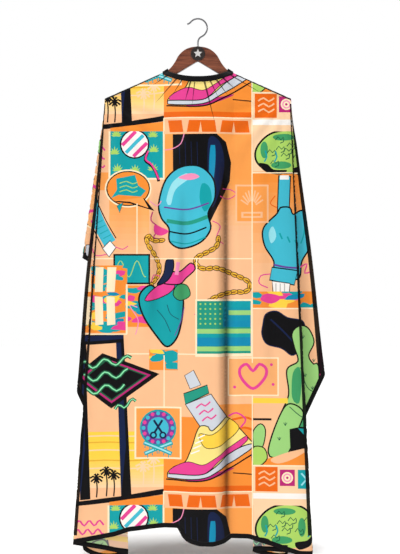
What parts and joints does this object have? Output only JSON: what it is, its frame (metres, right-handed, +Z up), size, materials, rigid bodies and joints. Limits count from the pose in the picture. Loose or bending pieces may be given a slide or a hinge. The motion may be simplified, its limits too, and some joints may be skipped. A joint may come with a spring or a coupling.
{
  "type": "barber cape on a hanger",
  "caption": "Printed cloth hairdressing cape with a bound edge and a snap neck closure, hanging on a flat wooden coat hanger with a swivelling hook",
  "frame": {"origin": "The point inside the top of the hook's bend that rests on a rail, on the hook's swivel axis", "axes": "+X runs along the hanger to the right of someone facing the cape's front, +Y points behind the cape, away from its printed front, and +Z points up"},
  "size_m": [0.6118, 0.1579, 1.2658],
  "materials": {
    "hook_steel": "polished steel wire, slightly worn",
    "ferrule_metal": "turned, satin",
    "hanger_wood": "stained mahogany colour under satin lacquer",
    "badge": "near-black, smooth",
    "emblem": "white inlay, satin",
    "printed_cloth": "satin polyester with an all-over coloured print",
    "binding": "black stretch binding, low sheen",
    "snap_metal": "gunmetal plating"
  },
  "bodies": {
    "hook": {"hook": "hook_steel"},
    "hanger_and_cape": {"hanger_body": "hanger_wood", "hook_ferrule": "ferrule_metal", "hook_washer": "hook_steel", "hanger_badge": "badge", "badge_emblem": "emblem", "front_panel": "printed_cloth", "left_fall": "printed_cloth", "right_fall": "printed_cloth", "back_left_panel": "printed_cloth", "back_right_panel": "printed_cloth", "front_hem": "binding", "left_fall_hem": "binding", "right_fall_hem": "binding", "back_left_hem": "binding", "back_right_hem": "binding", "opening_binding_left": "binding", "opening_binding_right": "binding", "neck_band": "binding", "underlap_tab": "binding", "tab_root": "binding", "stud_1": "snap_metal", "stud_2": "snap_metal", "stud_3": "snap_metal", "stud_4": "snap_metal", "stud_cap_1": "snap_metal", "stud_cap_2": "snap_metal", "stud_cap_3": "snap_metal", "stud_cap_4": "snap_metal"},
    "tab": {"closure_tab": "binding", "socket_1": "snap_metal", "socket_2": "snap_metal", "socket_cap_1": "snap_metal", "socket_cap_2": "snap_metal"}
  },
  "joints": [
    {"name": "hook_swivel", "type": "hinge", "parent": "hook", "child": "hanger_and_cape", "pos_m": [0, 0, -0.08], "axis": [0, 0, 1], "continuous": true},
    {"name": "tab_peel", "type": "hinge", "parent": "hanger_and_cape", "child": "tab", "pos_m": [-0.0343, 0.0299, -0.172], "axis": [0, 0, 1], "range_deg": [0, 70]}
  ]
}
